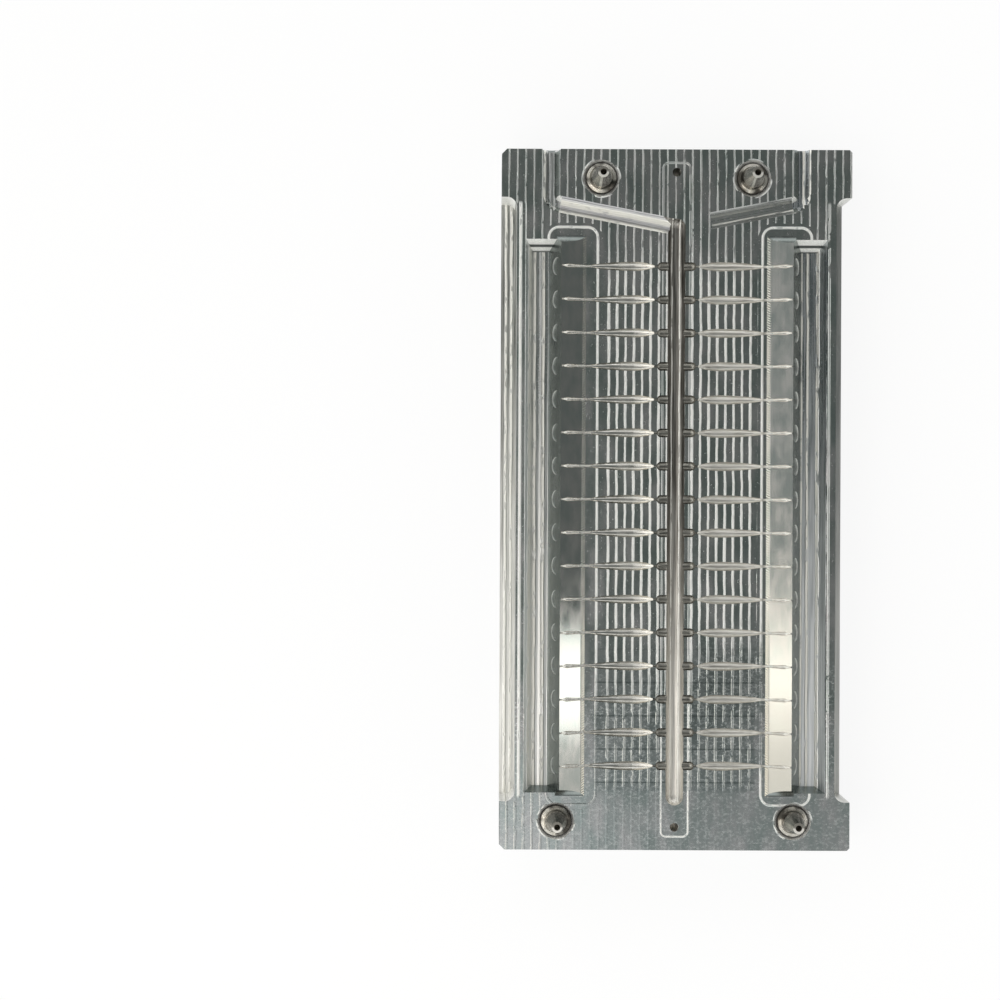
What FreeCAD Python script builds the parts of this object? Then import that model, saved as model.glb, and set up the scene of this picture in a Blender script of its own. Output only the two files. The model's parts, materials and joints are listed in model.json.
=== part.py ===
"""Right-hand half of an aluminium injection mould for soft fishing lures.

The half lies on its back face, parting face up.  X runs across the plate, Y along it towards
the sprue end, Z away from the back face.  The origin is the middle of the back face.
Two rows of sixteen lure cavities branch from one runner.  Each cavity ends in a round paddle,
cut into the steep face of a long ridge that stands beside a tongue trough.
"""
import FreeCAD, Part
import math
import os
from types import SimpleNamespace

import Sketcher
from FreeCAD import Placement, Rotation, Vector

DIMENSIONS = [
    # plate
    ("plate_width", 200.0),
    ("plate_length", 400.0),
    ("plate_thickness", 40.0),
    ("hinge_corner_chamfer", 3.0),
    ("outer_corner_chamfer", 1.5),
    # clamp ledges milled along both long sides
    ("ledge_width", 8.8),
    ("ledge_thickness", 10.0),
    ("end_land", 27.5),
    ("ledge_cutter_radius", 6.0),
    # rows of cavities, spread between the two ends of the plate
    ("first_row_from_end", 66.9),
    ("last_row_from_end", 48.1),
    ("row_count", 16.0),
    # tongue trough, a narrow land in from each clamp ledge
    ("outer_land", 5.0),
    ("trough_width", 13.5),
    ("trough_drop", 8.5),
    ("trough_wall_run", 4.6),
    ("trough_past_rows", 15.5),
    ("trough_sprue_end_run", 6.5),
    ("trough_far_end_run", 2.8),
    # tail ridge: a long slope up to its crest and a steep face down into the trough
    ("ridge_rise", 4.5),
    ("steep_run", 6.7),
    ("slope_run", 14.4),
    ("ridge_past_rows", 18.0),
    ("ridge_end_radius", 4.6),
    # vents across the narrow land
    ("vent_width", 4.0),
    ("vent_drop", 0.5),
    ("vent_count", 3.0),
    ("rows_between_vents", 6.0),
    # runner and the shallow relief that it lies in
    ("runner_radius", 5.0),
    ("runner_past_first_row", 22.4),
    ("runner_past_last_row", 17.6),
    ("relief_width", 15.4),
    ("relief_from_end", 7.7),
    ("relief_drop", 0.3),
    ("relief_corner_radius", 3.0),
    ("jack_hole_diameter", 5.0),
    ("jack_hole_drop", 14.0),
    ("jack_hole_from_relief_end", 5.3),
    # sprues and the two channels that feed from them
    ("sprue_from_side", 28.3),
    ("channel_tilt", 11.0),
    ("channel_width", 9.6),
    ("channel_floor_width", 3.4),
    ("channel_drop", 3.4),
    ("channel_bend_radius", 6.5),
    ("blind_channel_end", 19.6),
    ("nozzle_radius", 7.3),
    ("nozzle_seat_drop", 2.4),
    # cavity, its places counted outwards from the runner's middle
    ("branch_radius", 2.5),
    ("branch_end", 11.0),
    ("gate_radius", 0.6),
    ("nose_start", 12.6),
    ("belly_at", 24.0),
    ("belly_radius", 2.6),
    ("rump_before_slope", 7.3),
    ("rump_radius", 1.5),
    ("rump_run", 5.0),
    ("stem_radius", 0.75),
    ("bulge_radius", 1.15),
    ("bulge_at", 11.0),
    ("bulge_start", 3.5),
    ("bulge_end", 13.2),
    ("stem_end_radius", 0.5),
    ("paddle_radius", 5.0),
    ("paddle_below_crest", 5.2),
    ("paddle_drop", 0.8),
    # guide pins
    ("sprue_pin_from_side", 56.8),
    ("far_pin_from_side", 32.4),
    ("pin_from_end", 16.5),
    ("pin_diameter", 12.0),
    ("pin_straight", 5.5),
    ("pin_stand", 20.0),
    ("pin_tip_diameter", 6.0),
    ("pin_centre_drill", 3.4),
    ("pin_relief_drop", 0.6),
    ("pin_relief_width", 1.0),
    ("shoulder_diameter", 18.0),
    ("shoulder_chamfer", 0.4),
    ("head_diameter", 22.0),
    ("head_thickness", 5.0),
    ("head_clearance", 0.4),
    ("bore_mouth_chamfer", 1.4),
]

class Formula:
    """A length or angle, kept both as a number and as an expression on the sheet of sizes."""

    def __init__(self, text, value):
        self.text = text
        self.value = value

    def joined(self, sign, other, value):
        return Formula("(%s %s %s)" % (self.text, sign, other.text), value)

    def __add__(self, other):
        other = formula(other)
        return self.joined("+", other, self.value + other.value)

    def __sub__(self, other):
        other = formula(other)
        return self.joined("-", other, self.value - other.value)

    def __mul__(self, other):
        other = formula(other)
        return self.joined("*", other, self.value * other.value)

    def __truediv__(self, other):
        other = formula(other)
        return self.joined("/", other, self.value / other.value)

    def __neg__(self):
        return Formula("(0 - %s)" % self.text, -self.value)


def formula(number):
    """Plain numbers become formulas too, so that the two mix."""
    return number if isinstance(number, Formula) else Formula(repr(number), number)


def root(square):
    return Formula("sqrt(%s)" % square.text, math.sqrt(square.value))


def sine(angle):
    return Formula("sin(%s)" % angle.text, math.sin(math.radians(angle.value)))


def cosine(angle):
    return Formula("cos(%s)" % angle.text, math.cos(math.radians(angle.value)))


def slope_angle(rise, run):
    """Angle in degrees of a slope that rises so much over so long a run."""
    text = "(atan(%s / %s) / 1 deg)" % (rise.text, run.text)
    return Formula(text, math.degrees(math.atan(rise.value / run.value)))


doc = FreeCAD.newDocument("mould_half")
sheet = doc.addObject("Spreadsheet::Sheet", "Sizes")
for row, (alias, value) in enumerate(DIMENSIONS, start=1):
    sheet.set("A%d" % row, alias)
    sheet.set("B%d" % row, str(value))
    sheet.setAlias("B%d" % row, alias)
doc.recompute()
dim = SimpleNamespace(**{alias: Formula("Sizes." + alias, value) for alias, value in DIMENSIONS})


# ---------------------------------------------------------------- sketches and features

def origin_item(body, role):
    """One of the body's own origin planes or axes."""
    return next(item for item in body.Origin.OriginFeatures if item.Role == role)


def set_size(item, name, value):
    """Give a property its value, bound to the sheet where the value is a formula."""
    if isinstance(value, Formula):
        setattr(item, name, value.value)
        item.setExpression(name, value.text)
    else:
        setattr(item, name, value)


def feature(body, kind, name, **settings):
    item = body.newObject("PartDesign::" + kind, name)
    for setting, value in settings.items():
        set_size(item, setting, value)
    return item


def new_sketch(body, name, plane, shift=(0, 0, 0), turn=0, about=Vector(0, 0, 1)):
    """A sketch on an origin plane, shifted and turned in that plane's own frame."""
    sketch = body.newObject("Sketcher::SketchObject", name)
    sketch.AttachmentSupport = (origin_item(body, plane), [""])
    sketch.MapMode = "FlatFace"
    place = [formula(part) for part in shift]
    turned = formula(turn)
    corner = Vector(*[part.value for part in place])
    sketch.AttachmentOffset = Placement(corner, Rotation(about, turned.value))
    for letter, part in zip("xyz", place):
        sketch.setExpression(".AttachmentOffset.Base." + letter, part.text)
    if isinstance(turn, Formula):
        sketch.setExpression(".AttachmentOffset.Rotation.Angle", turned.text)
    return sketch


def fix(sketch, geometry, point, x=None, y=None):
    """Tie a sketch point's distances from the sketch origin to the sheet."""
    for kind, distance, axis in (("DistanceX", x, -2), ("DistanceY", y, -1)):
        if distance is None:
            continue
        distance = formula(distance)
        if distance.value == 0 and distance.text in ("0", "0.0"):
            sketch.addConstraint(Sketcher.Constraint("PointOnObject", geometry, point, axis))
            continue
        number = sketch.addConstraint(
            Sketcher.Constraint(kind, -1, 1, geometry, point, distance.value))
        sketch.setExpression("Constraints[%d]" % number, distance.text)


def outline(sketch, corners):
    """A closed outline through corners (x, y).

    A corner (x, y, "x", centre) or (x, y, "y", centre) starts an arc to the next corner, whose
    centre has that x or y; the arc is the short one.
    """
    count = len(corners)
    points = [Vector(formula(c[0]).value, formula(c[1]).value, 0) for c in corners]
    first_ends = []
    last_ends = []
    for index, corner in enumerate(corners):
        start = points[index]
        end = points[(index + 1) % count]
        if len(corner) == 2:
            number = sketch.addGeometry(Part.LineSegment(start, end))
            first_ends.append((number, 1))
            last_ends.append((number, 2))
            continue
        middle = arc_middle(start, end, corner[2], formula(corner[3]).value)
        forward = (start - middle).cross(end - middle).z > 0
        arc_from, arc_to = (start, end) if forward else (end, start)
        circle = Part.Circle(middle, Vector(0, 0, 1), (start - middle).Length)
        arc = Part.ArcOfCircle(circle, circle.parameter(arc_from), circle.parameter(arc_to))
        number = sketch.addGeometry(arc)
        first_ends.append((number, 1 if forward else 2))
        last_ends.append((number, 2 if forward else 1))
    for index, corner in enumerate(corners):
        number, point = first_ends[index]
        before, before_point = last_ends[index - 1]
        sketch.addConstraint(
            Sketcher.Constraint("Coincident", before, before_point, number, point))
        fix(sketch, number, point, corner[0], corner[1])
        if len(corner) == 4:
            fix(sketch, number, 3, **{corner[2]: corner[3]})


def arc_middle(start, end, axis, known):
    """Centre of the arc between two points when one of its coordinates is known."""
    half = (start + end) * 0.5
    along = end - start
    if axis == "x":
        return Vector(known, half.y + (half.x - known) * along.x / along.y, 0)
    return Vector(half.x + (half.y - known) * along.y / along.x, known, 0)


def circle(sketch, x, y, radius):
    """A circle whose middle and radius are tied to the sheet."""
    number = sketch.addGeometry(Part.Circle(Vector(formula(x).value, formula(y).value, 0),
                                            Vector(0, 0, 1), radius.value))
    fix(sketch, number, 3, x, y)
    size = sketch.addConstraint(Sketcher.Constraint("Radius", number, radius.value))
    sketch.setExpression("Constraints[%d]" % size, radius.text)


def rectangle(sketch, left, right, bottom, top):
    outline(sketch, [(left, bottom), (right, bottom), (right, top), (left, top)])


def mirrored(body, name, originals):
    """Repeat features on the other side of the plate's middle plane."""
    copy = feature(body, "Mirrored", name, Originals=originals,
                   MirrorPlane=(origin_item(body, "YZ_Plane"), [""]))
    body.Tip = copy
    doc.recompute()
    return copy


def rows_both_sides(body, name, originals, count, pitch):
    """Repeat features in a row along the plate and mirror the row."""
    row = feature(body, "LinearPattern", name + "_row", Direction=(origin_item(body, "Y_Axis"), [""]),
                  Reversed=True, Length=(count - 1) * pitch, Occurrences=int(count.value))
    row.setExpression("Occurrences", count.text)
    other_side = feature(body, "Mirrored", name + "_other_side",
                         MirrorPlane=(origin_item(body, "YZ_Plane"), [""]))
    both = feature(body, "MultiTransform", name, Originals=originals,
                   Transformations=[row, other_side])
    body.Tip = both
    doc.recompute()
    return both


def edges_where(shape, test):
    """Names of the edges whose middle and length satisfy the test."""
    return ["Edge%d" % number for number, edge in enumerate(shape.Edges, start=1)
            if test(edge)]


# ---------------------------------------------------------------- mould plate

parting = dim.plate_thickness
half_width = dim.plate_width / 2
half_length = dim.plate_length / 2

# along the plate
first_row = half_length - dim.first_row_from_end
last_row = dim.last_row_from_end - half_length
row_pitch = (first_row - last_row) / (dim.row_count - 1)
rows_middle = (first_row + last_row) / 2
half_rows = (first_row - last_row) / 2
runner_sprue_end = first_row + dim.runner_past_first_row
runner_far_end = last_row - dim.runner_past_last_row
relief_end = half_length - dim.relief_from_end

# across the plate, from its side inwards
trough_outer_edge = half_width - dim.ledge_width - dim.outer_land
trough_foot = trough_outer_edge - dim.trough_width
crest = trough_foot - dim.steep_run
slope_start = crest - dim.slope_run
rump_at = slope_start - dim.rump_before_slope
sprue_from_middle = half_width - dim.sprue_from_side

slope_tilt = slope_angle(dim.ridge_rise, dim.slope_run)
slope_length = root(dim.slope_run * dim.slope_run + dim.ridge_rise * dim.ridge_rise)
steep_drop = dim.ridge_rise + dim.trough_drop
steep_tilt = slope_angle(steep_drop, dim.steep_run)
# where the steep face passes the level of the parting face
steep_at_parting = crest + dim.steep_run * dim.ridge_rise / steep_drop


def blank(body):
    """The block, with its four upright corners chamfered."""
    sketch = new_sketch(body, "blank_outline", "XY_Plane")
    near = dim.hinge_corner_chamfer
    far = dim.outer_corner_chamfer
    outline(sketch, [
        (-half_width + near, -half_length), (half_width - far, -half_length),
        (half_width, -half_length + far), (half_width, half_length - far),
        (half_width - far, half_length), (-half_width + near, half_length),
        (-half_width, half_length - near), (-half_width, -half_length + near)])
    feature(body, "Pad", "blank", Profile=sketch, Length=parting)


def clamp_ledges(body):
    """Long steps along both sides, where toe clamps bear, with the cutter's round inner corners."""
    inner = half_width - dim.ledge_width
    end = half_length - dim.end_land
    sketch = new_sketch(body, "ledge_outline", "XY_Plane", shift=(0, 0, parting))
    rectangle(sketch, inner, half_width + dim.ledge_width, -end, end)
    ledge = feature(body, "Pocket", "ledge", Profile=sketch,
                    Length=parting - dim.ledge_thickness)
    both = mirrored(body, "ledges", [ledge])

    def inner_corner(edge):
        middle = edge.CenterOfMass
        return (abs(abs(middle.x) - inner.value) < 0.01 and abs(abs(middle.y) - end.value) < 0.01
                and abs(edge.Length - ledge.Length.Value) < 0.01)

    feature(body, "Fillet", "ledge_corners", Base=(both, edges_where(both.Shape, inner_corner)),
            Radius=dim.ledge_cutter_radius)


def tongue_troughs(body):
    """Sloped-wall troughs that take the other half's tongues."""
    high = first_row + dim.trough_past_rows
    low = last_row - dim.trough_past_rows
    mouth = new_sketch(body, "trough_mouth", "XY_Plane", shift=(0, 0, parting))
    rectangle(mouth, steep_at_parting, trough_outer_edge, low, high)
    floor = new_sketch(body, "trough_floor", "XY_Plane", shift=(0, 0, parting - dim.trough_drop))
    rectangle(floor, trough_foot, trough_outer_edge - dim.trough_wall_run,
              low + dim.trough_far_end_run, high - dim.trough_sprue_end_run)
    trough = feature(body, "SubtractiveLoft", "trough", Profile=mouth, Sections=[floor], Ruled=True)
    mirrored(body, "troughs", [trough])


def tail_ridges(body):
    """Ridges that carry the parting face up along the tails and down the paddles' steep face.

    A ball cutter went round their ends and left them hollow.
    """
    half = half_rows + dim.ridge_past_rows
    section = new_sketch(body, "ridge_section", "XZ_Plane", shift=(0, parting, half - rows_middle))
    outline(section, [(slope_start, 0), (steep_at_parting, 0), (crest, dim.ridge_rise)])
    ridge = feature(body, "Pad", "ridge", Profile=section, Length=half * 2, Reversed=True)
    mirrored(body, "ridges", [ridge])
    ends = new_sketch(body, "ridge_ends", "YZ_Plane", shift=(rows_middle, parting, 0))
    radius = dim.ridge_end_radius
    above = dim.ridge_rise + radius
    for side in (1, -1):
        foot = half * side
        wall = (half - radius) * side
        outline(ends, [(foot, 0, "x", foot), (wall, radius), (wall, above), (foot, above)])
    feature(body, "Pocket", "ridge_end_hollows", Profile=ends, Type="ThroughAll", Midplane=True)


def runner(body):
    """Half-round runner in its shallow relief, with a jacking hole at each end of the relief."""
    half = dim.relief_width / 2
    area = new_sketch(body, "relief_outline", "XY_Plane", shift=(0, 0, parting))
    rectangle(area, -half, half, -relief_end, relief_end)
    relief = feature(body, "Pocket", "relief", Profile=area, Length=dim.relief_drop)
    doc.recompute()

    def corner(edge):
        middle = edge.CenterOfMass
        return (abs(abs(middle.x) - half.value) < 0.01
                and abs(abs(middle.y) - relief_end.value) < 0.01
                and abs(edge.Length - relief.Length.Value) < 0.01)

    feature(body, "Fillet", "relief_corners", Base=(relief, edges_where(relief.Shape, corner)),
            Radius=dim.relief_corner_radius)

    radius = dim.runner_radius
    capsule = new_sketch(body, "runner_section", "XY_Plane", shift=(0, 0, parting))
    outline(capsule, [
        (0, runner_far_end - radius, "x", 0), (radius, runner_far_end),
        (radius, runner_sprue_end, "x", 0), (0, runner_sprue_end + radius)])
    feature(body, "Groove", "runner", Profile=capsule, Angle=360,
            ReferenceAxis=(capsule, ["V_Axis"]))

    holes = new_sketch(body, "jack_hole_outline", "XY_Plane", shift=(0, 0, parting))
    for side in (1, -1):
        circle(holes, 0, (relief_end - dim.jack_hole_from_relief_end) * side,
               dim.jack_hole_diameter / 2)
    feature(body, "Pocket", "jack_holes", Profile=holes, Length=dim.jack_hole_drop)


def channel_spine(sketch, side, end_x):
    """From outside the sprue end down the sprue, round the bend and along the slanting channel."""
    tilt = dim.channel_tilt
    sprue = sprue_from_middle
    slant = sine(tilt) / cosine(tilt)
    # the two straight lines meet at the knee; the bend touches both at the same distance from it
    knee_y = runner_sprue_end + sprue * slant
    reach = dim.channel_bend_radius * cosine(tilt) / (sine(tilt) + 1)
    bend_top = knee_y + reach
    bend_x = sprue - reach * cosine(tilt)
    bend_y = knee_y - reach * sine(tilt)
    middle_x = sprue - dim.channel_bend_radius
    end_y = runner_sprue_end + end_x * slant
    start = Vector(side * sprue.value, (half_length + dim.channel_width).value, 0)
    top = Vector(side * sprue.value, bend_top.value, 0)
    bottom = Vector(side * bend_x.value, bend_y.value, 0)
    last = Vector(side * end_x.value, end_y.value, 0)
    middle = Vector(side * middle_x.value, bend_top.value, 0)
    sketch.addGeometry(Part.LineSegment(start, top))
    bend = Part.Circle(middle, Vector(0, 0, 1), dim.channel_bend_radius.value)
    arc_from, arc_to = (bottom, top) if side > 0 else (top, bottom)
    sketch.addGeometry(Part.ArcOfCircle(bend, bend.parameter(arc_from), bend.parameter(arc_to)))
    sketch.addGeometry(Part.LineSegment(bottom, last))
    first, second = (2, 1) if side > 0 else (1, 2)
    sketch.addConstraint(Sketcher.Constraint("Coincident", 0, 2, 1, first))
    sketch.addConstraint(Sketcher.Constraint("Coincident", 1, second, 2, 1))
    fix(sketch, 0, 1, sprue * side, half_length + dim.channel_width)
    fix(sketch, 0, 2, sprue * side, bend_top)
    fix(sketch, 2, 1, bend_x * side, bend_y)
    fix(sketch, 1, 3, middle_x * side)
    fix(sketch, 2, 2, end_x * side, end_y)


def channel(body, name, side, end_x):
    """A trapezoidal feed channel: wide at the parting face, narrow at its floor."""
    spine = new_sketch(body, name + "_spine", "XY_Plane", shift=(0, 0, parting))
    channel_spine(spine, side, end_x)
    section = new_sketch(body, name + "_section", "XZ_Plane",
                         shift=(sprue_from_middle * side, parting,
                                -(half_length + dim.channel_width)))
    half = dim.channel_width / 2
    floor = dim.channel_floor_width / 2
    over = dim.relief_drop
    outline(section, [(-half, over), (-half, 0), (-floor, -dim.channel_drop),
                      (floor, -dim.channel_drop), (half, 0), (half, over)])
    feature(body, "SubtractivePipe", name, Profile=section, Spine=(spine, ["Edge1", "Edge2", "Edge3"]))


def nozzle_seat(body):
    """Half of the round seat for the injector's nozzle, at the mouth of the working sprue."""
    radius = dim.nozzle_radius
    middle = half_length + radius - dim.nozzle_seat_drop
    sketch = new_sketch(body, "nozzle_section", "XY_Plane",
                        shift=(-sprue_from_middle, middle, parting))
    outline(sketch, [(0, -radius, "x", 0), (radius, 0, "x", 0), (0, radius)])
    feature(body, "Groove", "nozzle_seat", Profile=sketch, Angle=360,
            ReferenceAxis=(sketch, ["V_Axis"]))


def cavities(body):
    """Branch, gate, lure body, tail stem and paddle, repeated along the runner and mirrored."""
    line = new_sketch(body, "lure_section", "XZ_Plane", shift=(0, parting, -first_row))
    ball = dim.branch_end - dim.branch_radius
    ball_end = ball + root(dim.branch_radius * dim.branch_radius
                           - dim.gate_radius * dim.gate_radius)
    outline(line, [
        (dim.runner_radius / 2, 0), (dim.runner_radius / 2, dim.branch_radius),
        (ball, dim.branch_radius, "x", ball), (ball_end, dim.gate_radius),
        (dim.nose_start, dim.gate_radius, "x", dim.belly_at),
        (dim.belly_at, dim.belly_radius, "x", dim.belly_at),
        (rump_at, dim.rump_radius), (rump_at + dim.rump_run, dim.stem_radius),
        (slope_start, dim.stem_radius), (slope_start, 0)])
    lure = feature(body, "Groove", "lure", Profile=line, Angle=360, ReferenceAxis=(line, ["H_Axis"]))

    tail = new_sketch(body, "tail_section", "XZ_Plane",
                      shift=(slope_start, parting, -first_row), turn=slope_tilt)
    outline(tail, [
        (-dim.stem_radius, 0), (-dim.stem_radius, dim.stem_radius),
        (dim.bulge_start, dim.stem_radius), (dim.bulge_at, dim.bulge_radius),
        (dim.bulge_end, dim.stem_end_radius), (slope_length + dim.paddle_drop, dim.stem_end_radius),
        (slope_length + dim.paddle_drop, 0)])
    stem = feature(body, "Groove", "tail_stem", Profile=tail, Angle=360,
                   ReferenceAxis=(tail, ["H_Axis"]))

    disc = new_sketch(body, "paddle_outline", "XY_Plane",
                      shift=(crest, first_row, parting + dim.ridge_rise),
                      turn=steep_tilt, about=Vector(0, 1, 0))
    circle(disc, dim.paddle_below_crest, 0, dim.paddle_radius)
    paddle = feature(body, "Pocket", "paddle", Profile=disc, Length=dim.paddle_drop)
    rows_both_sides(body, "lures", [lure, stem, paddle], dim.row_count, row_pitch)


def vents(body):
    """Shallow air slots across the land between each trough and its ledge."""
    half = dim.vent_width / 2
    spacing = row_pitch * dim.rows_between_vents
    first_vent = rows_middle + (dim.vent_count - 1) * spacing / 2
    sketch = new_sketch(body, "vent_outline", "XY_Plane", shift=(0, first_vent, parting))
    rectangle(sketch, trough_outer_edge - dim.trough_wall_run / 2,
              half_width - dim.ledge_width / 2, -half, half)
    vent = feature(body, "Pocket", "vent", Profile=sketch, Length=dim.vent_drop)
    rows_both_sides(body, "vents", [vent], dim.vent_count, spacing)


def pin_places():
    """Name and middle of each guide pin; the far pair stands wider, so the halves fit one way."""
    places = []
    y = half_length - dim.pin_from_end
    for end, from_side, pin_y in (("sprue_end", dim.sprue_pin_from_side, y),
                                  ("far_end", dim.far_pin_from_side, -y)):
        x = half_width - from_side
        places.append(("guide_pin_" + end + "_left", -x, pin_y))
        places.append(("guide_pin_" + end + "_right", x, pin_y))
    return places


def pin_bores(body):
    """Through bores for the pins, recessed at the back for their heads."""
    bores = new_sketch(body, "pin_bore_outline", "XY_Plane", shift=(0, 0, parting))
    recesses = new_sketch(body, "pin_head_outline", "XY_Plane")
    for _, x, y in pin_places():
        circle(bores, x, y, dim.shoulder_diameter / 2)
        circle(recesses, x, y, dim.head_diameter / 2 + dim.head_clearance)
    feature(body, "Pocket", "pin_bores", Profile=bores, Type="ThroughAll")
    feature(body, "Pocket", "pin_head_recesses", Profile=recesses, Length=dim.head_thickness,
            Reversed=True)
    doc.recompute()

    def mouth(edge):
        return (not edge.Degenerated and abs(edge.CenterOfMass.z - parting.value) < 0.01
                and edge.Curve.TypeId == "Part::GeomCircle"
                and abs(edge.Curve.Radius - dim.shoulder_diameter.value / 2) < 0.01)

    bored = body.Tip
    feature(body, "Chamfer", "pin_bore_mouths", Base=(bored, edges_where(bored.Shape, mouth)),
            Size=dim.bore_mouth_chamfer)


def mould_plate():
    body = doc.addObject("PartDesign::Body", "mould_plate")
    body.Label = "mould_plate"
    blank(body)
    doc.recompute()
    clamp_ledges(body)
    tongue_troughs(body)
    tail_ridges(body)
    runner(body)
    channel(body, "feed_channel", -1, formula(0))
    channel(body, "blind_channel", 1, dim.blind_channel_end)
    nozzle_seat(body)
    doc.recompute()
    cavities(body)
    vents(body)
    pin_bores(body)
    return body


# ---------------------------------------------------------------- guide pins

def guide_pin(name, x, y):
    """A shouldered leader pin: head in the back recess, shoulder in the bore, tapered nose."""
    body = doc.addObject("PartDesign::Body", name)
    body.Label = name
    body.Placement = Placement(Vector(x.value, y.value, 0), Rotation())
    body.setExpression(".Placement.Base.x", x.text)
    body.setExpression(".Placement.Base.y", y.text)
    head = dim.head_diameter / 2
    shoulder = dim.shoulder_diameter / 2
    working = dim.pin_diameter / 2
    top = parting + dim.pin_stand
    chamfer = dim.shoulder_chamfer
    drill = dim.pin_centre_drill / 2
    relief_floor = parting - dim.pin_relief_drop
    section = new_sketch(body, name + "_section", "XZ_Plane")
    outline(section, [
        (0, 0), (head - chamfer, 0), (head, chamfer), (head, dim.head_thickness),
        (shoulder, dim.head_thickness), (shoulder, parting - chamfer),
        (shoulder - chamfer, parting), (working + dim.pin_relief_width, parting),
        (working + dim.pin_relief_width, relief_floor), (working, relief_floor),
        (working, parting + dim.pin_straight),
        (dim.pin_tip_diameter / 2, top), (drill, top), (0, top - drill * 2)])
    feature(body, "Revolution", name + "_turned", Profile=section, Angle=360,
            ReferenceAxis=(section, ["V_Axis"]))
    return body


bodies = [mould_plate()]
for pin_name, pin_x, pin_y in pin_places():
    bodies.append(guide_pin(pin_name, pin_x, pin_y))
doc.recompute()

# ---------------------------------------------------------------- checks and files

for item in doc.Objects:
    if "Invalid" in item.State or "Error" in item.State:
        raise RuntimeError("%s failed: %s" % (item.Label, item.State))
for body in bodies:
    if body.Shape.isNull() or not body.Shape.isValid():
        raise RuntimeError("%s has no valid shape" % body.Label)

os.makedirs("parts", exist_ok=True)
for body in bodies:
    body.Shape.exportStep("parts/%s.step" % body.Label)
    solid = body.Shape
    print(body.Label, len(solid.Solids), "solid", round(solid.Volume), "mm3")
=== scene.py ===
"""Looks of the injection mould half: a milled aluminium plate with four ground steel guide pins."""
import json
import math

import bpy
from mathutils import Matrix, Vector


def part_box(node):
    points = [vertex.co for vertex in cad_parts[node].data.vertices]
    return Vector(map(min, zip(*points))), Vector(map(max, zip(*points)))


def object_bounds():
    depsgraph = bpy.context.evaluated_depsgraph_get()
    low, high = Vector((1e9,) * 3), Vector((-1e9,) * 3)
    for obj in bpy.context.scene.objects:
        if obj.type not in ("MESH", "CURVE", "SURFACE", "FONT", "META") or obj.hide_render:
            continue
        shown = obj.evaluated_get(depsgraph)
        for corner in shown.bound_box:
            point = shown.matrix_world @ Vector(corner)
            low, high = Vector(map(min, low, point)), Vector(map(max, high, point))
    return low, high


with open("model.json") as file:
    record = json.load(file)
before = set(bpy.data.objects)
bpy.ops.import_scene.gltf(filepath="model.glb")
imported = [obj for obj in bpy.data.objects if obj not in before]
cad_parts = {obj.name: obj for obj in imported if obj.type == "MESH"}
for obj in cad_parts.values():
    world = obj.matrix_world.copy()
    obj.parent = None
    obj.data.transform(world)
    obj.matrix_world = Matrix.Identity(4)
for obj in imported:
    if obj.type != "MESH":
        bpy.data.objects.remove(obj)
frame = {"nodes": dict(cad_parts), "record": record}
cad_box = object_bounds()
plate = frame["nodes"]["mould_plate"]
pins = [node for name, node in frame["nodes"].items() if name.startswith("guide_pin")]
mounts = {mount["name"]: mount for mount in frame["record"]["mounts"]}


# ---------------------------------------------------------------- sizes in millimetres

def in_millimetres(metres):
    """A place from the frame, without the last digits that a mesh adds."""
    return [round(value * 1000, 3) for value in metres]


HALF_WIDTH, HALF_LENGTH, _ = in_millimetres(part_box("mould_plate")[1])
PARTING = in_millimetres(mounts["parting_face"]["pos_m"])[2]
PIN_TOP = in_millimetres(cad_box[1])[2]
SPRUE_PIN_ASIDE, PIN_ALONG, _ = in_millimetres(mounts["guide_pin_sprue_end_right"]["pos_m"])
FAR_PIN_ASIDE = in_millimetres(mounts["guide_pin_far_end_right"]["pos_m"])[0]
PIN_RADIUS = mounts["guide_pin_far_end_right"]["dims"]["r_mm"]
# from the plate's side inwards: clamp ledge, narrow land, trough, steep face and long slope
LEDGE_WALL = HALF_WIDTH - 8.8
TROUGH_EDGE = LEDGE_WALL - 5.0
TROUGH_FOOT = TROUGH_EDGE - 13.5
CREST = TROUGH_FOOT - 6.7
SLOPE_START = CREST - 14.4
# rows of cavities, spread between the two ends of the plate
ROW_COUNT = 16
FIRST_ROW = HALF_LENGTH - 66.9
LAST_ROW = 48.1 - HALF_LENGTH
ROW_PITCH = (FIRST_ROW - LAST_ROW) / (ROW_COUNT - 1)
ROWS_MIDDLE = (FIRST_ROW + LAST_ROW) / 2
HALF_ROWS = ROW_COUNT * ROW_PITCH / 2
# radius in the ledges' ends, depth of the troughs, and where the channels give way to sprues
LEDGE_CORNER = 6.0
TROUGH_DROP = 8.5
SPRUES_START = 160.0
# runner, the shallow relief round it, the branches and the two tilted channels
RUNNER_RADIUS = 5.0
RELIEF_HALF = 7.7
RELIEF_END = HALF_LENGTH - 7.7
RELIEF_CORNER = 3.0
RELIEF_DROP = 0.3
BRANCH_END = 12.4
CHANNEL_TILT = math.radians(11)
# round each pin: the mouth of its bore in the parting face and the recess for its head behind
BORE_MOUTH = 10.4
RECESS_RADIUS = 11.4
# step from one pass of the end mill to the next: three sixteenths of an inch
PASS_STEP = 4.7625
# rounded path of the ball cutter round each ridge: half sides of its core, middles and radius
RIM_CORE = (8.0, 158.8)
RIM_MIDDLES = (-59.0, 63.1)
RIM_RADIUS = 6.0


# ---------------------------------------------------------------- node helpers

def linear(code):
    """The linear colour that an sRGB hex code stands for."""
    channels = []
    for start in (0, 2, 4):
        value = int(code[start:start + 2], 16) / 255
        channels.append(value / 12.92 if value <= 0.04045 else ((value + 0.055) / 1.055) ** 2.4)
    return (*channels, 1.0)


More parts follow.
